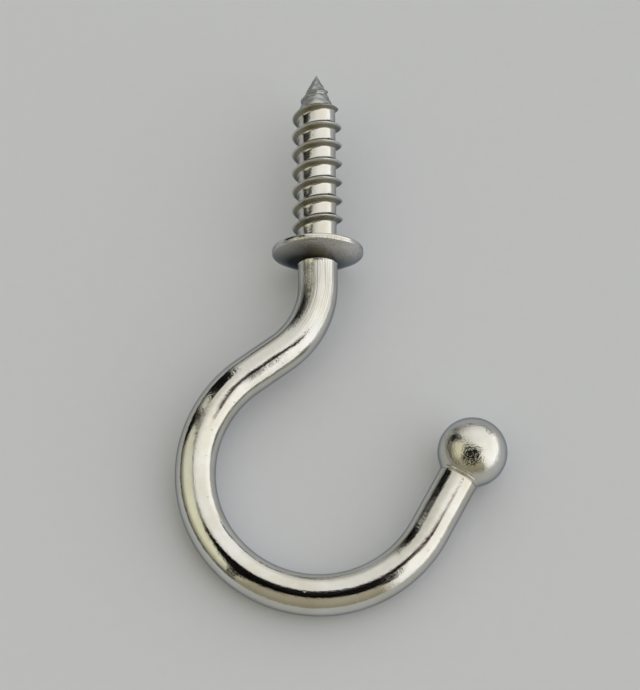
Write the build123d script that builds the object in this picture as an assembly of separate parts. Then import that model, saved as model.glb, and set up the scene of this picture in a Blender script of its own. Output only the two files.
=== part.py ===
from build123d import *
from math import acos, atan2, cos, degrees, hypot, radians, sin, sqrt, tan
import os

# Screw hook with a collar and a ball end, cold-formed from one length of steel wire.
# It is drawn upright: the screw points up +Z, the hook is bent in the XZ plane, and the
# centre of the collar's seat face is the origin. At the end it is laid down as it rests.
# All sizes are in millimetres and degrees.

# Wire and hook
wire_radius = 2.45
bow_radius = 14.9           # centre line of the big round bow
bow_centre_drop = 28.6      # bow centre below the seat, on the screw's axis
neck_drop = 4.8             # straight wire from the seat down to the first bend
bend_radius = 10.75         # centre line of the bend that sets the bow off to one side
tail_angle = 60.3           # slope of the straight tail above the horizontal
tail_length = 11.0          # end of the bow to the centre of the ball
ball_radius = 4.2

# Collar
collar_radius = 5.7
rim_thickness = 0.8
seat_rounding = 0.25        # radius of the rim's edge on the seat side
hook_chamfer = 0.12         # small bevel of the rim's edge on the hook side
dome_height = 1.2           # hook side, from the rim down to the wire
recess_radius = 3.6         # shallow dish round the screw inside the flat seat
recess_depth = 0.25

# Screw
screw_length = 24.2         # seat to point
core_radius = 2.38
point_taper = ((0.0, 0.0), (2.3, 1.2), (5.4, core_radius))   # distance from the point, radius
point_rise = ((0.5, -0.06), (1.1, 0.07), (3.5, 0.15), (4.9, 0.38), (6.6, 0.79))
flank_angle = 33.0          # each flank, from a plane square to the axis; the crest is sharp
pitch = 2.54
crest_height_at_x = 4.0     # height at which a crest crosses the +X side
first_angle = -300.0        # start of the run-out, behind the screw
full_angle = -165.0         # the thread has its full height from here on
thread_root_depth = 0.16    # how far the ridge's root is sunk in the core
points_per_turn = 8


def polar(radius, angle):
    return Vector(radius * cos(radians(angle)), 0, radius * sin(radians(angle)))


def wire_path():
    """Centre line from inside the collar to the ball's centre, and that centre.

    The bend is centred left of the neck and the bow on the screw's axis. The straight leg
    between them is the crossed tangent of the two circles."""
    bend_centre = Vector(-bend_radius, 0, -neck_drop)
    bow_centre = Vector(0, 0, -bow_centre_drop)
    gap = bow_centre - bend_centre
    both_radii = bend_radius + bow_radius
    tangent_angle = degrees(atan2(gap.Z, gap.X) + acos(both_radii / gap.length))
    bow_end_angle = tail_angle - 90

    neck_foot = Vector(0, 0, -neck_drop)
    bend_mid = bend_centre + polar(bend_radius, tangent_angle / 2)
    bend_end = bend_centre + polar(bend_radius, tangent_angle)
    bow_start_angle = tangent_angle + 180
    bow_mid_angle = (bow_start_angle + bow_end_angle + 360) / 2
    bow_start = bow_centre + polar(bow_radius, bow_start_angle)
    bow_mid = bow_centre + polar(bow_radius, bow_mid_angle)
    bow_end = bow_centre + polar(bow_radius, bow_end_angle)
    ball_centre = bow_end + polar(tail_length, tail_angle)

    path = Wire(
        [
            Edge.make_line((0, 0, -rim_thickness / 2), neck_foot),
            Edge.make_three_point_arc(neck_foot, bend_mid, bend_end),
            Edge.make_line(bend_end, bow_start),
            Edge.make_three_point_arc(bow_start, bow_mid, bow_end),
            Edge.make_line(bow_end, ball_centre),
        ]
    )
    return path, ball_centre


def hook_wire(path):
    section = Plane(path @ 0, z_dir=path % 0) * Circle(wire_radius)
    return sweep(section, path=path)


def ball_end(ball_centre):
    """Ball upset on the tail, its own axis in line with the wire."""
    return Plane(ball_centre, z_dir=polar(1, tail_angle)) * Sphere(ball_radius)


def dome_middle(start, end):
    """Point half way round the dome, which is part of a sphere centred on the screw's axis."""
    centre_height = (start.dot(start) - end.dot(end)) / (2 * (start.Z - end.Z))
    centre = Vector(0, 0, centre_height)
    chord_middle = (start + end) / 2
    outward = (chord_middle - centre).normalized()
    return centre + outward * (start - centre).length


def collar():
    """Turned about the screw's axis: flat seat with a dished middle, rim, domed hook side."""
    rounding_centre = Vector(collar_radius - seat_rounding, 0, -seat_rounding)
    dome_start = Vector(collar_radius - hook_chamfer, 0, -rim_thickness)
    dome_end = Vector(wire_radius, 0, -rim_thickness - dome_height)
    corners = [Vector(0, 0, -recess_depth), Vector(core_radius, 0, -recess_depth)]
    corners.append(Vector(recess_radius, 0, 0))
    for angle in (90, 45, 0):
        corners.append(rounding_centre + polar(seat_rounding, angle))
    corners.append(Vector(collar_radius, 0, hook_chamfer - rim_thickness))
    corners.append(dome_start)
    outline = [Edge.make_line(start, end) for start, end in zip(corners, corners[1:])]
    outline.append(Edge.make_three_point_arc(dome_start, dome_middle(dome_start, dome_end), dome_end))
    outline.append(Edge.make_line(dome_end, (0, 0, dome_end.Z)))
    outline.append(Edge.make_line((0, 0, dome_end.Z), corners[0]))
    return revolve(Face(Wire(outline)), axis=Axis.Z)


def station_value(stations, distance):
    """Straight-line value between the (distance, value) stations on either side."""
    for (near, low), (far, high) in zip(stations, stations[1:]):
        if distance <= far:
            return low + (high - low) * (distance - near) / (far - near)
    return stations[-1][1]


def core():
    """Plain cylinder with a point of two tapers, the steeper one last."""
    foot = -rim_thickness / 2
    outline = [(0, foot), (core_radius, foot)]
    for distance, radius in reversed(point_taper):
        outline.append((radius, screw_length - distance))
    return revolve(Plane.XZ * make_face(Polyline(*outline, close=True)), axis=Axis.Z)


def core_radius_at(height):
    return station_value(point_taper, screw_length - height)


def ridge_rise(angle, height):
    """How far the crest stands out of the core.

    It follows the stations of point_rise near the point, each a distance from the point and
    a rise, and fades in along the run-out. Below zero the ridge is inside the core."""
    buried = point_rise[0][1]
    rise = station_value(point_rise, screw_length - height)
    fade = min(1, (angle - first_angle) / (full_angle - first_angle))
    return buried + (rise - buried) * fade


def thread_corners(angle):
    """The three corners of the ridge's section at one angle: low root, crest, high root.

    Each corner is (radius, height). The flanks run down to a root sunk in the core."""
    middle = crest_height_at_x + pitch * angle / 360
    rise = ridge_rise(angle, middle)
    root_half = (rise + thread_root_depth) * tan(radians(flank_angle))
    corners = []
    for offset, lift in ((-root_half, -thread_root_depth), (0, rise), (root_half, -thread_root_depth)):
        height = middle + offset
        corners.append((core_radius_at(height) + lift, height))
    return corners


def thread_turn(angles):
    """One stretch of the ridge: a ruled face between each pair of its helical edges."""
    rails = [[], [], []]
    for angle in angles:
        for rail, (radius, height) in zip(rails, thread_corners(angle)):
            x = radius * cos(radians(angle))
            y = radius * sin(radians(angle))
            rail.append(Vector(x, y, height))
    low_root, crest, high_root = [Edge.make_spline(rail) for rail in rails]
    faces = []
    for edge, next_edge in ((low_root, crest), (crest, high_root), (high_root, low_root)):
        faces.append(Face.make_surface_from_curves(edge, next_edge))
    for end in (0, -1):
        faces.append(Face(Wire.make_polygon([rail[end] for rail in rails])))
    return Solid(Shell(faces))


def thread():
    """Right-handed ridge from the run-out to the point, in stretches of about one turn."""
    last_angle = 360 * (screw_length - point_rise[0][0] - crest_height_at_x) / pitch
    turns = round((last_angle - first_angle) / 360)
    steps = turns * points_per_turn
    angles = [first_angle + (last_angle - first_angle) * i / steps for i in range(steps + 1)]
    stretches = []
    for start in range(0, steps, points_per_turn):
        stretches.append(thread_turn(angles[start : start + points_per_turn + 1]))
    return stretches


def resting_plane(ball_centre):
    """The plane that the hook lies on, and how far the seat's centre is above it.

    The plane touches the ball, the bow and the corner of the collar's rim. Heights above it
    are measured along its unit normal (a, b, c), which leans a little from -Y. A ring of
    radius R stands above its lowest point by R times the length of the normal's share in
    the ring's own plane, so the three heights depend on the normal, and a few rounds of
    working out one from the other settle both."""
    rim_drop = rim_thickness - hook_chamfer
    a, c = 0.0, 0.0
    for _ in range(30):
        bow_level = bow_radius * hypot(a, c) + wire_radius
        rim_level = collar_radius * sqrt(1 - c**2)
        c = (rim_level - bow_level) / (bow_centre_drop - rim_drop)
        seat_level = rim_level + c * rim_drop
        a = (ball_radius - seat_level - c * ball_centre.Z) / ball_centre.X
    normal = Vector(a, -sqrt(1 - a**2 - c**2), c)
    across = Vector(0, 0, 1).cross(normal).normalized()
    return Plane((0, 0, 0), x_dir=across, z_dir=normal), seat_level


path, ball_centre = wire_path()
screw = core().fuse(*thread())
upright = hook_wire(path) + collar() + ball_end(ball_centre) + screw
plane, seat_level = resting_plane(ball_centre)
screw_hook = plane.to_local_coords(upright)
screw_hook.label = "screw_hook"

os.makedirs("parts", exist_ok=True)
export_step(screw_hook, "parts/screw_hook.step")

axis = plane.to_local_coords(Vector(0, 0, 1))
print("screw axis", axis, "seat above the floor", round(seat_level, 3))
print("box", screw_hook.bounding_box())
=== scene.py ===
import bmesh
import bpy
import numpy as np
from mathutils import Euler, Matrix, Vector


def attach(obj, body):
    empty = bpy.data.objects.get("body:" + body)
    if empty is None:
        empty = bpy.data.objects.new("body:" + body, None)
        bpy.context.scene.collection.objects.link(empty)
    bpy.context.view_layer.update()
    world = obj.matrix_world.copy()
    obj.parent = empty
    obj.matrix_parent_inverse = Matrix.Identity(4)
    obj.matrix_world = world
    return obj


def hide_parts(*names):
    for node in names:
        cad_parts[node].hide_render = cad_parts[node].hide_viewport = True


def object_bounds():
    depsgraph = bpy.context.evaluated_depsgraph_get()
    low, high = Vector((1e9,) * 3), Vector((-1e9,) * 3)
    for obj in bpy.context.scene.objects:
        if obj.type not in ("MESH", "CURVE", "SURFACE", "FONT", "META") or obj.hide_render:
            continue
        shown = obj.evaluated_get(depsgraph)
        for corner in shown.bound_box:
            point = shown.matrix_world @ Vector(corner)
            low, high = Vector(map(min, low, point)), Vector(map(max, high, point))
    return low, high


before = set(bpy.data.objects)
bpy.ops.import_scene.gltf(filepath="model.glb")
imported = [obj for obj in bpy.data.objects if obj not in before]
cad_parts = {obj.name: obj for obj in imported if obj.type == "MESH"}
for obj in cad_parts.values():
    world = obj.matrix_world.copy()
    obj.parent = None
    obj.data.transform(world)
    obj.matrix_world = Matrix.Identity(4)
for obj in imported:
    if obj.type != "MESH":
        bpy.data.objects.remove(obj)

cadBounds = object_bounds()
mm = 0.001


def linearColour(hexCode):
    # sRGB hex to linear: c / 12.92 near black, ((c + 0.055) / 1.055) ^ 2.4 above it
    srgb = np.array([int(hexCode[i:i + 2], 16) / 255 for i in (1, 3, 5)])
    linear = np.where(srgb <= 0.04045, srgb / 12.92, ((srgb + 0.055) / 1.055) ** 2.4)
    return (*linear, 1.0)


def addNode(tree, kind, settings):
    # one node: each entry names a property, or an input by name or number, and gives it a value
    # or links it to another node's output
    node = tree.nodes.new(kind)
    for name, value in settings.items():
        if isinstance(value, bpy.types.NodeSocket):
            tree.links.new(value, node.inputs[name])
        elif isinstance(name, int) or name in node.inputs:
            node.inputs[name].default_value = value
        else:
            setattr(node, name, value)
    return node


# The whole hook is one length of wire, so it is one closed skin. Sizes in mm and degrees.
hook = dict(
    wireRadius=2.45,
    bowRadius=14.9,
    bowDrop=28.6,          # bow centre below the seat
    neckDrop=4.8,
    bendRadius=10.75,
    tailAngle=60.3,
    tailLength=11.0,
    pointsAround=108,
    wireStep=0.42,         # between rings on the plain wire
    weldDistance=0.001,    # points closer than this are one
)

ball = dict(
    radius=4.2,
    lipHeight=0.08,        # bead that the heading die leaves where the ball meets the wire
    lipWidth=0.09,
    grooveDepth=0.07,
    grooveGap=0.2,         # groove's distance from the bead, on the wire side
    sphereStop=0.03,       # radians before the joint where the close rings of the bead begin
    sphereRings=64,
    beadStep=0.02,
    beadRun=0.7,           # how far the close rings go on past the joint
    beadRings=44,
)

collar = dict(
    radius=5.7,
    rimThickness=0.8,
    seatRounding=0.25,
    hookRounding=0.17,
    cadChamfer=0.12,       # the CAD part's bevel there, which the resting plane touches
    domeHeight=1.2,
    recessRadius=3.6,
    recessDepth=0.25,
    shoulder=0.2,          # rounded end of the wire where it meets the dome
    shoulderArc=(60, 160, 9),       # from, to, and points on the arc
    shoulderStand=0.5,     # arc's middle beyond the dome's foot, in shoulder radii
    lipRun=1.5,            # and from there to where the plain wire begins
    shoulderGap=0.15,      # how far the shoulder stands off the dome's own line
    shoulderLip=0.07,      # how far the die has spread the wire there
    domeRings=30,
    seatRings=12,
    dishRings=8,
)

screw = dict(
    length=24.2,
    coreRadius=2.38,
    taper=((0.0, 0.0), (2.3, 1.2), (5.4, 2.38)),      # distance from the point, radius
    rise=((0.5, -0.06), (1.1, 0.08), (2.1, 0.22),     # distance from the point, height of the
          (3.5, 0.28), (4.9, 0.5), (6.6, 0.79)),      # crest over the core
    flankAngle=33.0,       # each flank, from a plane square to the axis
    pitch=2.54,
    crestAtX=4.0,          # height at which a crest crosses the +X side
    firstTurn=-300 / 360,  # the run-out starts here
    fullTurn=-165 / 360,   # and has the thread's full height from here on
    wobbleHeight=0.02,     # rolled crests aren't quite even
    wobbleRates=(23.7, 9.1),
    lumpHeight=0.06,       # and the pinched point isn't quite round
    lumpStart=6.2,         # lumps come in from this distance from the point
    lumpRun=2.0,
    lumpWaves=((3, 2.9), (5, -4.3), (7, 6.0)),        # waves round the screw, radians per mm along
    crestRounding=0.05,
    rootFillet=0.09,
    leastFillet=0.1,       # share of the fillet that is left at the tip
    # the ribbon's lines, as shares of the pitch from the crest: close at the crest and the roots
    acrossPitch=(-0.5, -0.4, -0.31, -0.26, -0.23, -0.2, -0.17, -0.13, -0.09, -0.05, -0.025, -0.01,
                 0, 0.01, 0.025, 0.05, 0.09, 0.13, 0.17, 0.2, 0.23, 0.26, 0.31, 0.4, 0.5),
)


def wireRuns():
    # The wire's straight and round runs, from the seat down to the ball: (length, curvature).
    # The straight leg is the crossed tangent of the bend's circle and the bow's circle.
    gap = np.hypot(hook["bendRadius"], hook["neckDrop"] - hook["bowDrop"])
    bothRadii = hook["bendRadius"] + hook["bowRadius"]
    slope = np.arctan2(hook["neckDrop"] - hook["bowDrop"], hook["bendRadius"])
    bendTurn = -slope - np.arccos(bothRadii / gap)
    bowTurn = np.radians(hook["tailAngle"]) + bendTurn + np.pi / 2
    return (
        (hook["neckDrop"], 0.0),
        (hook["bendRadius"] * bendTurn, -1 / hook["bendRadius"]),
        (np.sqrt(gap**2 - bothRadii**2), 0.0),
        (hook["bowRadius"] * bowTurn, 1 / hook["bowRadius"]),
        (hook["tailLength"], 0.0),
    )


def centreLine(distance):
    # Point and heading at each distance below the seat. Over a run of curvature k that starts at
    # heading h, a length u moves the point by (sin(h + ku) - sin h, cos h - cos(h + ku)) / k,
    # or straight by u, and turns the heading by ku.
    heading = np.full(distance.shape, -np.pi / 2)
    x = np.zeros(distance.shape)
    z = np.zeros(distance.shape)
    runs = wireRuns()
    start = 0.0
    for number, (length, curvature) in enumerate(runs):
        low = -np.inf if number == 0 else 0.0
        high = np.inf if number == len(runs) - 1 else length
        u = np.clip(distance - start, low, high)
        turned = heading + curvature * u
        if curvature:
            x = x + (np.sin(turned) - np.sin(heading)) / curvature
            z = z + (np.cos(heading) - np.cos(turned)) / curvature
        else:
            x = x + u * np.cos(heading)
            z = z + u * np.sin(heading)
        heading = turned
        start += length
    return x, z, heading


def carriedRings(distance, radius):
    # A ring at each distance along the wire: centre + radius * (cos a * side + sin a * Y),
    # where side is square to the heading in the plane of the bend.
    x, z, heading = (values[:, None] for values in centreLine(distance))
    angle = np.linspace(0, 2 * np.pi, hook["pointsAround"] + 1)[None, :]
    across = radius[:, None] * np.cos(angle)
    out = radius[:, None] * np.sin(angle)
    points = np.stack([x - across * np.sin(heading), out, z + across * np.cos(heading)], axis=-1)
    along = np.broadcast_to(distance[:, None], across.shape)
    return points, np.stack([along, across, out], axis=-1)


def roundedCorner(centre, radius, fromAngle, toAngle, count=7):
    # arc in the (distance, radius) outline: centre + radius * (cos a, sin a)
    angle = np.radians(np.linspace(fromAngle, toAngle, count))
    return np.stack([centre[0] + radius * np.cos(angle), centre[1] + radius * np.sin(angle)], axis=-1)


def ballOutline(wireEnd):
    # Sphere of radius R about the wire's end, cos/sin outline from its far pole to the wire,
    # where the radius is the wire's plus a small bell-shaped bead and less a bell-shaped groove.
    radius = ball["radius"]
    reach = np.sqrt(radius**2 - hook["wireRadius"]**2)
    joint = wireEnd - reach
    jointAngle = np.pi - np.arcsin(hook["wireRadius"] / radius)
    polar = np.linspace(0, jointAngle - ball["sphereStop"], ball["sphereRings"])
    sphere = np.stack([wireEnd + radius * np.cos(polar), radius * np.sin(polar)], axis=-1)
    along = np.linspace(sphere[-1, 0] - ball["beadStep"], joint - ball["beadRun"], ball["beadRings"])
    plain = np.sqrt(np.clip(radius**2 - (along - wireEnd)**2, 0, None))
    plain = np.where(along > joint, plain, hook["wireRadius"])
    bead = ball["lipHeight"] * np.exp(-(((along - joint) / ball["lipWidth"])**2))
    grooveAt = joint - ball["grooveGap"]
    groove = ball["grooveDepth"] * np.exp(-(((along - grooveAt) / ball["lipWidth"])**2))
    return np.concatenate([sphere, np.stack([along, plain + bead - groove], axis=-1)])


def collarOutline():
    # From the neck up: the wire's rounded shoulder with its lip, the dome (part of a sphere on
    # the screw's axis: height = centre + sqrt(R^2 - r^2)), the rim with its two rounded edges,
    # the flat seat and the straight-sided dish round the screw.
    wire = hook["wireRadius"]
    rim, thickness = collar["radius"], collar["rimThickness"]
    domeFoot = np.array([thickness + collar["domeHeight"], wire])
    domeRim = np.array([thickness, rim - collar["hookRounding"]])
    sphereAt = (domeFoot @ domeFoot - domeRim @ domeRim) / (2 * (domeFoot[0] - domeRim[0]))
    sphereRadius = np.hypot(domeFoot[0] - sphereAt, domeFoot[1])
    domeRadii = np.linspace(wire - collar["shoulderGap"], domeRim[1], collar["domeRings"])
    dome = np.stack([sphereAt + np.sqrt(sphereRadius**2 - domeRadii**2), domeRadii], axis=-1)
    shoulder = collar["shoulder"]
    neckEnd = (domeFoot[0] + collar["shoulderStand"] * shoulder, wire + collar["shoulderLip"] - shoulder)
    lipFoot = (neckEnd[0] + collar["lipRun"] * shoulder, wire)
    seatAt = (collar["seatRounding"], rim - collar["seatRounding"])
    hookAt = (thickness - collar["hookRounding"], rim - collar["hookRounding"])
    seatRadii = np.linspace(rim - collar["seatRounding"], collar["recessRadius"], collar["seatRings"])
    dishRadii = np.linspace(collar["recessRadius"], screw["coreRadius"], collar["dishRings"])
    slope = (collar["recessRadius"] - dishRadii) / (collar["recessRadius"] - screw["coreRadius"])
    return np.concatenate([
        [lipFoot],
        roundedCorner(neckEnd, shoulder, *collar["shoulderArc"]),
        dome,
        roundedCorner(hookAt, collar["hookRounding"], 0, 90),
        roundedCorner(seatAt, collar["seatRounding"], 90, 180),
        np.stack([0 * seatRadii, seatRadii], axis=-1),
        np.stack([collar["recessDepth"] * slope, dishRadii], axis=-1),
    ])


def bentWire():
    # Outline of the ball, the plain wire and the collar, carried along the centre line
    wireEnd = sum(length for length, curvature in wireRuns())
    ballPart = ballOutline(wireEnd)
    collarPart = collarOutline()
    count = int((ballPart[-1, 0] - collarPart[0, 0]) / hook["wireStep"])
    along = np.linspace(ballPart[-1, 0], collarPart[0, 0], count)[1:-1]
    plain = np.stack([along, np.full(along.shape, hook["wireRadius"])], axis=-1)
    outline = np.concatenate([ballPart, plain, collarPart])
    return carriedRings(outline[:, 0], outline[:, 1])


def threadSkin():
    # The screw's skin as one long ribbon wound round the core, a pitch wide, with the crest on
    # its middle line: height = crest height + v * pitch at turn t, v from -1/2 to 1/2, held
    # between the dish and the point. Its radius is the soft maximum of core(z) and of the ridge,
    # core + rise - |z - crest| / tan(flank angle).
    pitch, foot, top = screw["pitch"], -collar["recessDepth"], screw["length"]
    around = hook["pointsAround"]
    firstTurn = np.floor((foot - screw["crestAtX"]) / pitch - 0.5)
    lastTurn = np.ceil((top - screw["crestAtX"]) / pitch + 0.5)
    turn = np.arange(firstTurn * around, lastTurn * around + 1)[:, None] / around
    crest = screw["crestAtX"] + pitch * turn
    height = np.clip(crest + np.array(screw["acrossPitch"])[None, :] * pitch, foot, top)

    taperAt, taperRadius = zip(*screw["taper"])
    riseAt, riseValue = zip(*screw["rise"])
    core = np.interp(top - height, taperAt, taperRadius)
    rise = np.interp(top - crest, riseAt, riseValue, left=riseValue[0])
    fade = np.clip((turn - screw["firstTurn"]) / (screw["fullTurn"] - screw["firstTurn"]), 0, 1)
    fade = fade * fade * (3 - 2 * fade)
    rise = riseValue[0] + (rise - riseValue[0]) * fade
    quick, slow = screw["wobbleRates"]
    wobble = screw["wobbleHeight"] * np.sin(turn * quick) * np.sin(turn * slow)
    fromCrest = np.hypot(height - crest, screw["crestRounding"]) - screw["crestRounding"]
    lift = rise + wobble * fade - fromCrest / np.tan(np.radians(screw["flankAngle"]))
    softness = screw["rootFillet"] * np.clip(core / screw["coreRadius"], screw["leastFillet"], 1)
    radius = core + (lift + np.hypot(lift, softness)) / 2
    # Lumps on the point: the product of two waves plus half the third, where a wave is
    # sin(n * angle + k * z). They fade where the core is less than half its full thickness.
    angle = 2 * np.pi * (turn % 1)
    waves = [np.sin(count * angle + rate * height) for count, rate in screw["lumpWaves"]]
    lumps = waves[0] * waves[1] + 0.5 * waves[2]
    lumpShare = np.clip((screw["lumpStart"] - top + height) / screw["lumpRun"], 0, 1)
    lumpShare = lumpShare * np.clip(core / screw["coreRadius"] * 2, 0, 1)
    radius = radius + screw["lumpHeight"] * lumps * lumpShare
    radius = np.where(height <= foot, screw["coreRadius"], radius)
    radius = np.where(height >= top, 0, radius)

    across, out = radius * np.cos(angle), radius * np.sin(angle)
    points = np.stack([across, out, height], axis=-1)
    return points, np.stack([-height, across, out], axis=-1)


def restingAxes():
    # Unit axes of the hook as it lies on its rim, bow and ball. The floor's normal (a, b, c)
    # and the three heights over the floor are worked out from each other in a few rounds.
    rimDrop = collar["rimThickness"] - collar["cadChamfer"]
    runEnd = np.array([sum(length for length, curvature in wireRuns())])
    ballX, ballZ, heading = (float(values[0]) for values in centreLine(runEnd))
    a, c = 0.0, 0.0
    for _ in range(30):    # far more than it takes to settle
        bowLevel = hook["bowRadius"] * np.hypot(a, c) + hook["wireRadius"]
        rimLevel = collar["radius"] * np.sqrt(1 - c**2)
        c = (rimLevel - bowLevel) / (hook["bowDrop"] - rimDrop)
        a = (ball["radius"] - rimLevel - c * rimDrop - c * ballZ) / ballX
    up = np.array([a, -np.sqrt(1 - a**2 - c**2), c])
    side = np.cross([0, 0, 1], up)
    side /= np.linalg.norm(side)
    return np.array([side, np.cross(up, side), up])


def gridFaces(rows, columns, start):
    # four corners of each cell, wound so that the face looks outwards
    corner = start + np.arange(rows - 1)[:, None] * columns + np.arange(columns - 1)[None, :]
    cells = np.stack([corner, corner + 1, corner + columns + 1, corner + columns], axis=-1)
    return cells.reshape(-1, 4)


def wireSkin(name):
    # Both surfaces in one mesh. The ribbon's edges, the rings' seam and the poles are merged.
    rings, ringPlace = bentWire()
    ribbon, ribbonPlace = threadSkin()
    ribbon, ribbonPlace = ribbon.swapaxes(0, 1), ribbonPlace.swapaxes(0, 1)
    points = np.concatenate([rings.reshape(-1, 3), ribbon.reshape(-1, 3)]) @ restingAxes().T * mm
    places = np.concatenate([ringPlace.reshape(-1, 3), ribbonPlace.reshape(-1, 3)])
    faces = np.concatenate([
        gridFaces(*rings.shape[:2], 0),
        gridFaces(*ribbon.shape[:2], rings.shape[0] * rings.shape[1]),
    ])
    mesh = bpy.data.meshes.new(name)
    mesh.vertices.add(len(points))
    mesh.vertices.foreach_set("co", points.ravel())
    mesh.loops.add(faces.size)
    mesh.loops.foreach_set("vertex_index", faces.ravel())
    mesh.polygons.add(len(faces))
    mesh.polygons.foreach_set("loop_start", np.arange(len(faces)) * 4)
    # mm along the wire from the seat, across it and out of the bend's plane
    place = mesh.attributes.new("wirePlace", "FLOAT_VECTOR", "POINT")
    place.data.foreach_set("vector", places.ravel())
    mesh.update(calc_edges=True)
    merged = bmesh.new()
    merged.from_mesh(mesh)
    bmesh.ops.remove_doubles(merged, verts=merged.verts, dist=hook["weldDistance"] * mm)
    merged.to_mesh(mesh)
    merged.free()
    mesh.polygons.foreach_set("use_smooth", np.ones(len(mesh.polygons), bool))
    return mesh


hookMesh = wireSkin("screwHookWire")
screwHook = bpy.data.objects.new("screwHookWire", hookMesh)
bpy.context.scene.collection.objects.link(screwHook)
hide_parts("screw_hook")
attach(screwHook, "root")
print("wire, ball, collar and thread:", len(hookMesh.polygons), "faces")


plating = dict(
    bright="#dcdbd7",       # nickel plate: silver, only a little warm
    stained="#cfcbbe",      # patches where it has yellowed
    pit="#7d7a72",
    dullTip="#b0b2b0",
    scuffed="#83827b",      # dark streaks where the dies gripped the neck
    flankShadeAndDullness="#8f8b7c",        # painted shade on the thread's flanks, which are also rougher
    corner="#45433a",       # painted shade in the corner between collar and wire, darkest on the left
    # axis of the painted corner shade, moved to the left of the wire
    cornerShift=-0.8,
    grazing="#a9b3c4",      # the metal's tint at a low angle, a little blue
    shine=(0.06, 0.13),     # roughness between and on the draw marks
    rougher=dict(neck=0.08, pit=0.3, tip=0.18, flankShadeAndDullness=0.1, screw=0.09),
    peelSize=1.3,           # mm, ripple of the plate over the drawn surface
    peelHeight=0.014,
    peelOnBall=0.3,
    markWidth=0.16,         # mm across a draw mark, wide enough to show
    markLength=9.0,
    markHeight=0.008,
    markOnNeck=3.0,
    grainSize=0.16,         # mm, grain where a die has pressed, as coarse as it needs to show
    grainHeight=0.024,
    grainElsewhere=0.3,     # shares of that height
    grainOnNeck=0.6,
    grainOnSpot=0.9,
    roughSpot=(-1.64, -0.39, -3.85),    # mm from the ball's centre: a coarse spot on its top
    roughSpotRadius=1.3,
    spotFull=0.6,           # share of that radius inside which the spot is at its full strength
    spotPaintedDark="#2b2a26",    # painted dark reflection on the grain of the spot
    rollMarkWidth=0.22,     # mm, rings that the thread rolls leave round the core
    rollMarkStretch=0.06,
    rollMarkHeight=0.007,
    patchSize=5.0,          # mm, yellowed patches
    pitSpacing=1.3,         # mm, small pits
    pitRadius=0.1,
    smallPit=0.3,           # least radius, as a share of that
    pitEdge=(1.3, 0.6),     # in radii, where a pit begins and where it is full
    pitDepth=0.02,
    pitShade=0.8,
    scuffShade=0.55,
    zones=dict(             # mm, where each zone begins and where it is full
        ball=(-4.2, -2.8),      # along the wire from the ball's centre
        tip=(5.6, 4.4),         # from the point
        neck=(14.0, 7.0),       # along the wire from the seat
        corner=(5.6, 2.7),      # painted corner shade, from the shifted axis
        root=(0.03, 0.14),      # over the screw's core
        crest=(0.72, 0.52),
    ),
    levels=dict(            # values of the noise between which each effect comes in
        pitGrowth=(0.4, 0.65),
        warmth=(0.35, 0.75),
        scuffs=(0.47, 0.66),
        paintedSpotSpecks=(0.54, 0.46),
        markShine=(0.35, 0.7),
    ),
)


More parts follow.
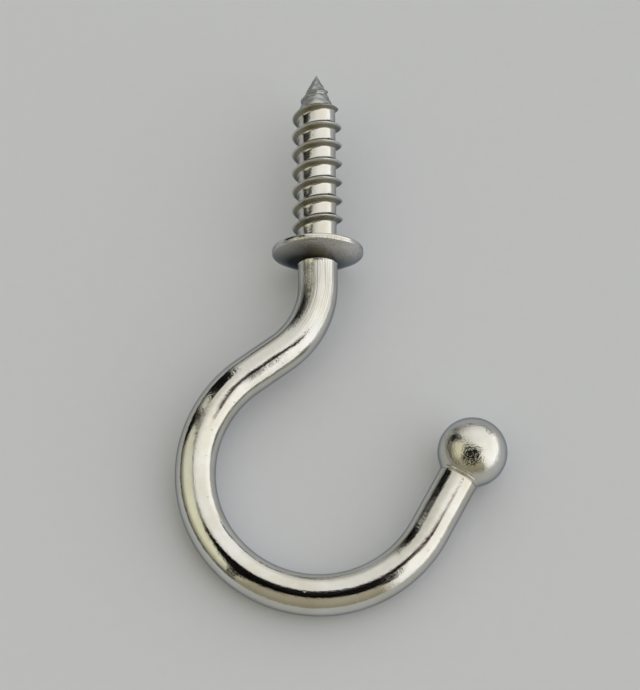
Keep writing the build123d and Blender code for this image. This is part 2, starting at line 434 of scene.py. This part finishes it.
def nickelPlatedSteelWire():
    # Bright nickel plate on cold-drawn, cold-formed steel wire: a clear mirror with a faint warm
    # tone, slightly rippled, with draw marks along the wire and small pits, and rougher where the
    # dies pressed it, on the neck, the bend and the ball. The rolled point is dull.
    material = bpy.data.materials.new("brightNickelPlateOnDrawnSteelWire")
    material.use_nodes = True
    tree = material.node_tree
    shader = tree.nodes["Principled BSDF"]
    shader.inputs["Metallic"].default_value = 1.0
    shader.inputs["Specular Tint"].default_value = linearColour(plating["grazing"])
    zones, levels = plating["zones"], plating["levels"]
    place = addNode(tree, "ShaderNodeAttribute", {"attribute_name": "wirePlace"}).outputs["Vector"]
    sides = addNode(tree, "ShaderNodeSeparateXYZ", {0: place}).outputs

    # zones along the wire, in mm from the seat
    wireEnd = sum(length for length, curvature in wireRuns())
    onBall = addNode(tree, "ShaderNodeMapRange", {
        "Value": sides[0],
        "From Min": wireEnd + zones["ball"][0], "From Max": wireEnd + zones["ball"][1]}).outputs[0]
    onTip = addNode(tree, "ShaderNodeMapRange", {
        "Value": sides[0],
        "From Min": zones["tip"][0] - screw["length"],
        "From Max": zones["tip"][1] - screw["length"]}).outputs[0]
    spotAt = (wireEnd + plating["roughSpot"][0], *plating["roughSpot"][1:])
    fromSpot = addNode(tree, "ShaderNodeVectorMath", {
        "operation": "DISTANCE", 0: place, 1: spotAt}).outputs["Value"]
    onSpot = addNode(tree, "ShaderNodeMapRange", {
        "Value": fromSpot, "From Min": plating["roughSpotRadius"],
        "From Max": plating["spotFull"] * plating["roughSpotRadius"]}).outputs[0]
    onNeck = addNode(tree, "ShaderNodeMapRange", {
        "Value": sides[0], "From Min": zones["neck"][0], "From Max": zones["neck"][1]}).outputs[0]
    belowSeat = addNode(tree, "ShaderNodeMath", {
        "operation": "GREATER_THAN", 0: sides[0], 1: collar["rimThickness"] / 2}).outputs[0]
    onScrew = addNode(tree, "ShaderNodeMath", {"operation": "LESS_THAN", 0: sides[0], 1: 0.0}).outputs[0]
    pressed = addNode(tree, "ShaderNodeMath", {
        "operation": "MULTIPLY", 0: onNeck, 1: belowSeat}).outputs[0]

    # patterns, each with its size in mm
    stretch = (plating["markWidth"] / plating["markLength"], 1.0, 1.0)
    streaked = addNode(tree, "ShaderNodeVectorMath", {
        "operation": "MULTIPLY", 0: place, 1: stretch}).outputs[0]
    drawMarks = addNode(tree, "ShaderNodeTexNoise", {
        "Vector": streaked, "Scale": 1 / plating["markWidth"], "Detail": 3.0, "Roughness": 0.6}).outputs[0]
    ringed = (1.0, plating["rollMarkStretch"], plating["rollMarkStretch"])
    rolled = addNode(tree, "ShaderNodeVectorMath", {
        "operation": "MULTIPLY", 0: place, 1: ringed}).outputs[0]
    rollMarks = addNode(tree, "ShaderNodeTexNoise", {
        "Vector": rolled, "Scale": 1 / plating["rollMarkWidth"], "Detail": 1.0}).outputs[0]
    peel = addNode(tree, "ShaderNodeTexNoise", {
        "Vector": place, "Scale": 1 / plating["peelSize"], "Detail": 1.0}).outputs[0]
    grain = addNode(tree, "ShaderNodeTexNoise", {
        "Vector": place, "Scale": 1 / plating["grainSize"], "Detail": 0.0}).outputs[0]
    patches = addNode(tree, "ShaderNodeTexNoise", {
        "Vector": place, "Scale": 1 / plating["patchSize"], "Detail": 3.0, "Roughness": 0.6}).outputs[0]
    cells = addNode(tree, "ShaderNodeTexVoronoi", {"Vector": place, "Scale": 1 / plating["pitSpacing"]})
    pitSize = addNode(tree, "ShaderNodeMapRange", {
        "Value": patches, "From Min": levels["pitGrowth"][0], "From Max": levels["pitGrowth"][1],
        "To Min": plating["smallPit"] * plating["pitRadius"], "To Max": plating["pitRadius"]}).outputs[0]
    fromPit = addNode(tree, "ShaderNodeMath", {
        "operation": "MULTIPLY", 0: cells.outputs["Distance"], 1: plating["pitSpacing"]}).outputs[0]
    inRadii = addNode(tree, "ShaderNodeMath", {"operation": "DIVIDE", 0: fromPit, 1: pitSize}).outputs[0]
    pits = addNode(tree, "ShaderNodeMapRange", {
        "Value": inRadii,
        "From Min": plating["pitEdge"][0], "From Max": plating["pitEdge"][1]}).outputs[0]

    # colour: warm patches, then pits, dark specks painted on the ball's spot, scuffs on the neck,
    # painted shade on the thread's flanks, the dull point and painted shade in the corner under the collar
    warmth = addNode(tree, "ShaderNodeMapRange", {
        "Value": patches, "From Min": levels["warmth"][0], "From Max": levels["warmth"][1]}).outputs[0]
    pitShade = addNode(tree, "ShaderNodeMath", {
        "operation": "MULTIPLY", 0: pits, 1: plating["pitShade"]}).outputs[0]
    # dark specks painted on the ball's coarse spot: a painted dark reflection over its real grain
    paintedSpotSpecks = addNode(tree, "ShaderNodeMapRange", {
        "Value": grain, "From Min": levels["paintedSpotSpecks"][0], "From Max": levels["paintedSpotSpecks"][1]}).outputs[0]
    paintedSpotSpecks = addNode(tree, "ShaderNodeMath", {"operation": "MULTIPLY", 0: paintedSpotSpecks, 1: onSpot}).outputs[0]
    scuffs = addNode(tree, "ShaderNodeMapRange", {
        "Value": drawMarks, "From Min": levels["scuffs"][0], "From Max": levels["scuffs"][1],
        "To Max": plating["scuffShade"]}).outputs[0]
    scuffs = addNode(tree, "ShaderNodeMath", {"operation": "MULTIPLY", 0: scuffs, 1: pressed}).outputs[0]
    square = addNode(tree, "ShaderNodeCombineXYZ", {"Y": sides[1], "Z": sides[2]}).outputs[0]
    fromAxis = addNode(tree, "ShaderNodeVectorMath", {"operation": "LENGTH", 0: square}).outputs["Value"]
    # the thread's flanks, between root and crest: painted shade in the colour, real dullness in the
    # roughness
    onShadedDullFlank = onScrew
    for band in ("root", "crest"):      # between the two
        inBand = addNode(tree, "ShaderNodeMapRange", {
            "Value": fromAxis,
            "From Min": screw["coreRadius"] + zones[band][0],
            "From Max": screw["coreRadius"] + zones[band][1]}).outputs[0]
        onShadedDullFlank = addNode(tree, "ShaderNodeMath", {
            "operation": "MULTIPLY", 0: inBand, 1: onShadedDullFlank}).outputs[0]
    # painted shade: darker in the corner where the dome meets the wire, more on the left
    fromCornerShadeAxis = addNode(tree, "ShaderNodeVectorMath", {
        "operation": "DISTANCE", 0: square, 1: (0.0, plating["cornerShift"], 0.0)}).outputs["Value"]
    cornerShadeNearWire = addNode(tree, "ShaderNodeMapRange", {
        "Value": fromCornerShadeAxis,
        "From Min": zones["corner"][0], "From Max": zones["corner"][1]}).outputs[0]
    onDome = addNode(tree, "ShaderNodeMath", {      # between the rim and the wire
        "operation": "COMPARE", 0: sides[0],
        1: collar["rimThickness"] + 0.5 * collar["domeHeight"], 2: 0.5 * collar["domeHeight"]}).outputs[0]
    cornerShadeShare = addNode(tree, "ShaderNodeMath", {"operation": "MULTIPLY", 0: cornerShadeNearWire, 1: onDome}).outputs[0]
    colour = addNode(tree, "ShaderNodeMix", {
        "data_type": "RGBA", 0: warmth,
        6: linearColour(plating["bright"]), 7: linearColour(plating["stained"])}).outputs[2]
    for share, shade in ((pitShade, "pit"), (paintedSpotSpecks, "spotPaintedDark"), (scuffs, "scuffed"),
                         (onShadedDullFlank, "flankShadeAndDullness"), (onTip, "dullTip"), (cornerShadeShare, "corner")):
        colour = addNode(tree, "ShaderNodeMix", {
            "data_type": "RGBA", 0: share, 6: colour, 7: linearColour(plating[shade])}).outputs[2]
    tree.links.new(colour, shader.inputs["Base Color"])

    # roughness: the draw marks, and more on the neck, in the pits and all over the screw
    roughness = addNode(tree, "ShaderNodeMapRange", {
        "Value": drawMarks, "From Min": levels["markShine"][0], "From Max": levels["markShine"][1],
        "To Min": plating["shine"][0], "To Max": plating["shine"][1]}).outputs[0]
    for share, zone in ((pressed, "neck"), (pits, "pit"), (onTip, "tip"),
                        (onShadedDullFlank, "flankShadeAndDullness"), (onScrew, "screw")):
        roughness = addNode(tree, "ShaderNodeMath", {
            "operation": "MULTIPLY_ADD", 0: share, 1: plating["rougher"][zone], 2: roughness}).outputs[0]
    tree.links.new(roughness, shader.inputs["Roughness"])

    # heights in mm: ripple and marks everywhere, full grain on the ball and the point
    grainPlaces = addNode(tree, "ShaderNodeMath", {"operation": "MAXIMUM", 0: onBall, 1: onTip}).outputs[0]
    grainShare = addNode(tree, "ShaderNodeMapRange", {
        "Value": grainPlaces,
        "To Min": plating["grainElsewhere"] * plating["grainHeight"],
        "To Max": plating["grainHeight"]}).outputs[0]
    for share, times in ((pressed, "grainOnNeck"), (onSpot, "grainOnSpot")):
        grainShare = addNode(tree, "ShaderNodeMath", {
            "operation": "MULTIPLY_ADD", 0: share,
            1: plating[times] * plating["grainHeight"], 2: grainShare}).outputs[0]
    markShare = addNode(tree, "ShaderNodeMapRange", {
        "Value": pressed, "To Min": plating["markHeight"],
        "To Max": plating["markOnNeck"] * plating["markHeight"]}).outputs[0]
    rollShare = addNode(tree, "ShaderNodeMath", {
        "operation": "MULTIPLY", 0: onScrew, 1: plating["rollMarkHeight"]}).outputs[0]
    peelShare = addNode(tree, "ShaderNodeMapRange", {
        "Value": onBall, "To Min": plating["peelHeight"],
        "To Max": plating["peelOnBall"] * plating["peelHeight"]}).outputs[0]
    height = addNode(tree, "ShaderNodeMath", {
        "operation": "MULTIPLY", 0: pits, 1: -plating["pitDepth"]}).outputs[0]
    for pattern, share in ((grain, grainShare), (drawMarks, markShare),
                           (rollMarks, rollShare), (peel, peelShare)):
        height = addNode(tree, "ShaderNodeMath", {
            "operation": "MULTIPLY_ADD", 0: pattern, 1: share, 2: height}).outputs[0]
    bump = addNode(tree, "ShaderNodeBump", {"Strength": 1.0, "Distance": mm, "Height": height})
    tree.links.new(bump.outputs[0], shader.inputs["Normal"])
    return material


hookMesh.materials.append(nickelPlatedSteelWire())
print("nickel plate: done")


# Floor: one large sheet of pale matt card under the hook
floorSheet = dict(
    colour="#cbced5",
    reach=6.0,              # m from the middle to each edge
    fibreSize=0.0015,       # m
    fibreTone=(0.97, 1.0),
    roughness=0.9,
    specular=0.2,
)


def mattCard():
    # Uncoated pale card, calendered: matt, with a barely visible fibre mottle
    material = bpy.data.materials.new("mattPaleCard")
    material.use_nodes = True
    tree = material.node_tree
    shader = tree.nodes["Principled BSDF"]
    place = addNode(tree, "ShaderNodeTexCoord", {}).outputs["Object"]
    fibres = addNode(tree, "ShaderNodeTexNoise", {
        "Vector": place, "Scale": 1 / floorSheet["fibreSize"], "Detail": 3.0}).outputs[0]
    tone = addNode(tree, "ShaderNodeMapRange", {
        "Value": fibres,
        "To Min": floorSheet["fibreTone"][0], "To Max": floorSheet["fibreTone"][1]}).outputs[0]
    shade = addNode(tree, "ShaderNodeVectorMath", {
        "operation": "SCALE", 0: linearColour(floorSheet["colour"])[:3], "Scale": tone})
    tree.links.new(shade.outputs[0], shader.inputs["Base Color"])
    shader.inputs["Roughness"].default_value = floorSheet["roughness"]
    shader.inputs["Specular IOR Level"].default_value = floorSheet["specular"]
    return material


def stagePiece(name, points, faces, material):
    mesh = bpy.data.meshes.new(name)
    mesh.from_pydata(np.asarray(points).tolist(), [], np.asarray(faces).tolist())
    mesh.materials.append(material)
    piece = bpy.data.objects.new(name, mesh)
    bpy.context.scene.collection.objects.link(piece)
    return piece


floorLevel = cadBounds[0][2]
edge = floorSheet["reach"]
floorCorners = [(x, y, floorLevel) for x, y in ((-edge, -edge), (edge, -edge), (edge, edge), (-edge, edge))]
stagePiece("floor", floorCorners, [range(4)], mattCard())


# Light tent. Its walls are the world: each row is a compass angle, anticlockwise from the right,
# with the cloth's colour overhead and near the floor there. Dark cards stand where a tent has its
# hole, its seams and its gap over the floor, and give the metal its dark lines. Their corners are
# (sideways, forward) angles from straight above a point in the bow, so 90 is level. Distances
# are in mm.
tent = dict(
    above=(-3, -32, 0),
    level=1.36,
    fallStart=52.0,         # slope from the upright where the low colours begin to come in
    fallEnd=86.0,
    walls=(
        (-180, "#d2d0b8", "#65655b"),
        (-137, "#ccc9b2", "#77755f"),
        (-131, "#969080", "#827f6c"),
        (-58, "#989282", "#827f6c"),
        (-50, "#f4f3ef", "#e4e4e2"),
        (-30, "#f8f7f4", "#ffffff"),
        (10, "#f2f1ed", "#ffffff"),
        (35, "#e7e6e2", "#ffffff"),
        (65, "#e4e3df", "#c8c8c6"),
        (110, "#d6d5d1", "#8e8e8c"),
        (135, "#c2c2bb", "#5d5e5c"),
        (180, "#d2d0b8", "#65655b"),
    ),
)

darkCards = dict(
    cameraHole=dict(distance=235, colour="#0c0a0a", corners=(
        (-3, 5), (-12, 5), (-20, 7), (-23, 2), (-29, -3), (-29, -9), (-32, -15),
        (-35, -24), (-47, -36), (-68, -60), (-43, -42), (-32, -33), (-22, -30),
        (0, -34), (22, -39), (34, -42), (20, -22), (9, -8), (3, 1))),
    holeEdge=dict(distance=235, colour="#3b211c", corners=(
        (3, 4), (6, 2), (14, -8), (24, -22), (36, -40), (34, -42), (20, -22), (9, -8))),
    sideSeam=dict(distance=235, colour="#451d18", corners=(
        (4, 2), (10, 0), (22, -3), (38, -7), (38, -11), (28, -14), (19, -13), (11, -9))),
    cornerSeam=dict(distance=310, colour="#0c0a0a", corners=(
        (-9, 8), (-30, 22), (-50, 32), (-64, 31), (-82, 37),
        (-70, 58), (-50, 40), (-30, 26), (-9, 11))),
    cornerPost=dict(distance=110, colour="#131315", corners=(
        (-20, 34), (-27, 29), (-43, 45), (-62, 64), (-49, 76), (-33, 56))),
    backGap=dict(distance=310, colour="#0c0a0a", corners=((48, 60), (57, 52), (66, 60), (55, 69))),
)

floorGap = dict(
    distance=310, colour="#0c0a0a", fromAngle=50, toAngle=225, slopes=(85.0, 90.8), steps=36)


def towards(angles, distance):
    # point at a distance from the point in the bow, in each (sideways, forward) direction: its
    # slope from the upright is the length of the pair, and its compass angle that of the pair
    sideways, forward = np.radians(np.array(angles, float)).T
    slope, compass = np.hypot(sideways, forward), np.arctan2(forward, sideways)
    level = np.sin(slope)
    unit = np.stack([level * np.cos(compass), level * np.sin(compass), np.cos(slope)], axis=-1)
    return (np.array(tent["above"]) + distance * unit) * mm


def dyedFlock(colour):
    # Dyed flock on card: takes nearly all the light
    material = bpy.data.materials.new("dyedFlock")
    material.use_nodes = True
    shader = material.node_tree.nodes["Principled BSDF"]
    shader.inputs["Base Color"].default_value = linearColour(colour)
    shader.inputs["Roughness"].default_value = 1.0
    shader.inputs["Specular IOR Level"].default_value = 0.0
    return material


def darkCard(name, points, faces, colour):
    # only the metal's mirror sees it, so the floor keeps its even light
    card = stagePiece(name, points, faces, dyedFlock(colour))
    card.visible_camera = False
    card.visible_diffuse = False
    card.visible_shadow = False


for name, card in darkCards.items():
    corners = towards(card["corners"], card["distance"])
    darkCard(name, corners, [range(len(corners))], card["colour"])
compass = np.radians(np.linspace(floorGap["fromAngle"], floorGap["toAngle"], floorGap["steps"]))[:, None]
slopes = np.array(floorGap["slopes"])[None, :]
gapRing = np.stack([slopes * np.cos(compass), slopes * np.sin(compass)], axis=-1).reshape(-1, 2)
gapPoints = towards(gapRing, floorGap["distance"])
darkCard("floorGap", gapPoints, gridFaces(floorGap["steps"], 2, 0), floorGap["colour"])


def tentWorld():
    # thin white cloth lit from outside: a ramp round the compass overhead and one near the floor
    world = bpy.data.worlds.new("tentWorld")
    world.use_nodes = True
    tree = world.node_tree
    direction = addNode(tree, "ShaderNodeTexCoord", {}).outputs["Generated"]
    sides = addNode(tree, "ShaderNodeSeparateXYZ", {0: direction}).outputs
    compass = addNode(tree, "ShaderNodeMath", {
        "operation": "ARCTAN2", 0: sides[1], 1: sides[0]}).outputs[0]
    turn = addNode(tree, "ShaderNodeMapRange", {
        "Value": compass, "From Min": -np.pi, "From Max": np.pi}).outputs[0]
    slope = addNode(tree, "ShaderNodeMath", {"operation": "ARCCOSINE", 0: sides[2]}).outputs[0]
    low = addNode(tree, "ShaderNodeMapRange", {
        "interpolation_type": "SMOOTHSTEP", "Value": slope,
        "From Min": np.radians(tent["fallStart"]), "From Max": np.radians(tent["fallEnd"])}).outputs[0]
    cloth = []
    for column in (1, 2):
        ramp = addNode(tree, "ShaderNodeValToRGB", {0: turn})
        stops = ramp.color_ramp.elements
        while len(stops) < len(tent["walls"]):
            stops.new(0.5)
        for stop, wall in zip(stops, tent["walls"]):
            stop.position = (wall[0] + 180) / 360
            stop.color = linearColour(wall[column])
        cloth.append(ramp.outputs[0])
    colour = addNode(tree, "ShaderNodeMix", {
        "data_type": "RGBA", 0: low, 6: cloth[0], 7: cloth[1]}).outputs[2]
    background = tree.nodes["Background"]
    tree.links.new(colour, background.inputs["Color"])
    background.inputs["Strength"].default_value = tent["level"]
    return world


bpy.context.scene.world = tentWorld()
print("floor, tent and cards: done")


# Camera: close above the hook, from the bow's side
view = dict(
    place=(-1.53, -94.99, 195.49),          # mm
    turn=(22.769, -0.302, -0.478),          # degrees
    focalPixels=1735.2,
    frame=(640, 690),
    sensor=36,              # mm
    nearest=0.01,           # m
)

cameraData = bpy.data.cameras.new("camera")
cameraData.sensor_width = view["sensor"]
cameraData.lens = view["focalPixels"] * cameraData.sensor_width / max(view["frame"])
cameraData.clip_start = view["nearest"]
camera = bpy.data.objects.new("camera", cameraData)
bpy.context.scene.collection.objects.link(camera)
camera.location = Vector(view["place"]) * mm
camera.rotation_euler = Euler(np.radians(view["turn"]))
bpy.context.scene.camera = camera
bpy.context.scene.view_settings.view_transform = "Standard"
